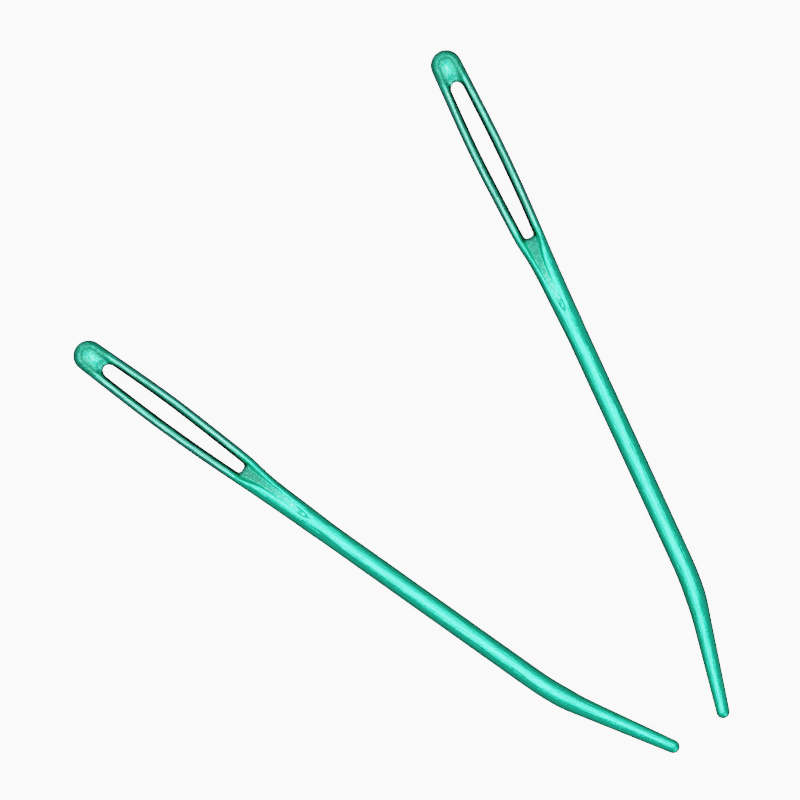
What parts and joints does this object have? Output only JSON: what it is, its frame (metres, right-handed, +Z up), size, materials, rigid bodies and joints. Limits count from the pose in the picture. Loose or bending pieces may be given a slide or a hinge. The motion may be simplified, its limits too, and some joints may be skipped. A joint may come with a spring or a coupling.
{
  "type": "yarn needle",
  "caption": "Pair of bent-tip yarn needles of green anodised aluminium wire, each with a long pressed eye and a blunt tapered point, for sewing up knitting and crochet.",
  "frame": {"origin": "on the table under the middle of the pair's bounding box, as the two needles lie in the picture", "axes": "+Z up from the table; +X to the right and +Y away from the viewer, as seen from straight above"},
  "size_m": [0.0634, 0.0678, 0.0021],
  "materials": {
    "left_needle": "drawn aluminium wire, dyed green and anodised, semi-gloss",
    "right_needle": "drawn aluminium wire, dyed green and anodised, semi-gloss"
  },
  "bodies": {
    "left_needle": {"left_needle": "left_needle"},
    "right_needle": {"right_needle": "right_needle"}
  },
  "joints": [
    {"name": "right_needle_lift", "type": "slide", "parent": "left_needle", "child": "right_needle", "axis": [0, 0, 1], "range_m": [0, 0.06]}
  ]
}
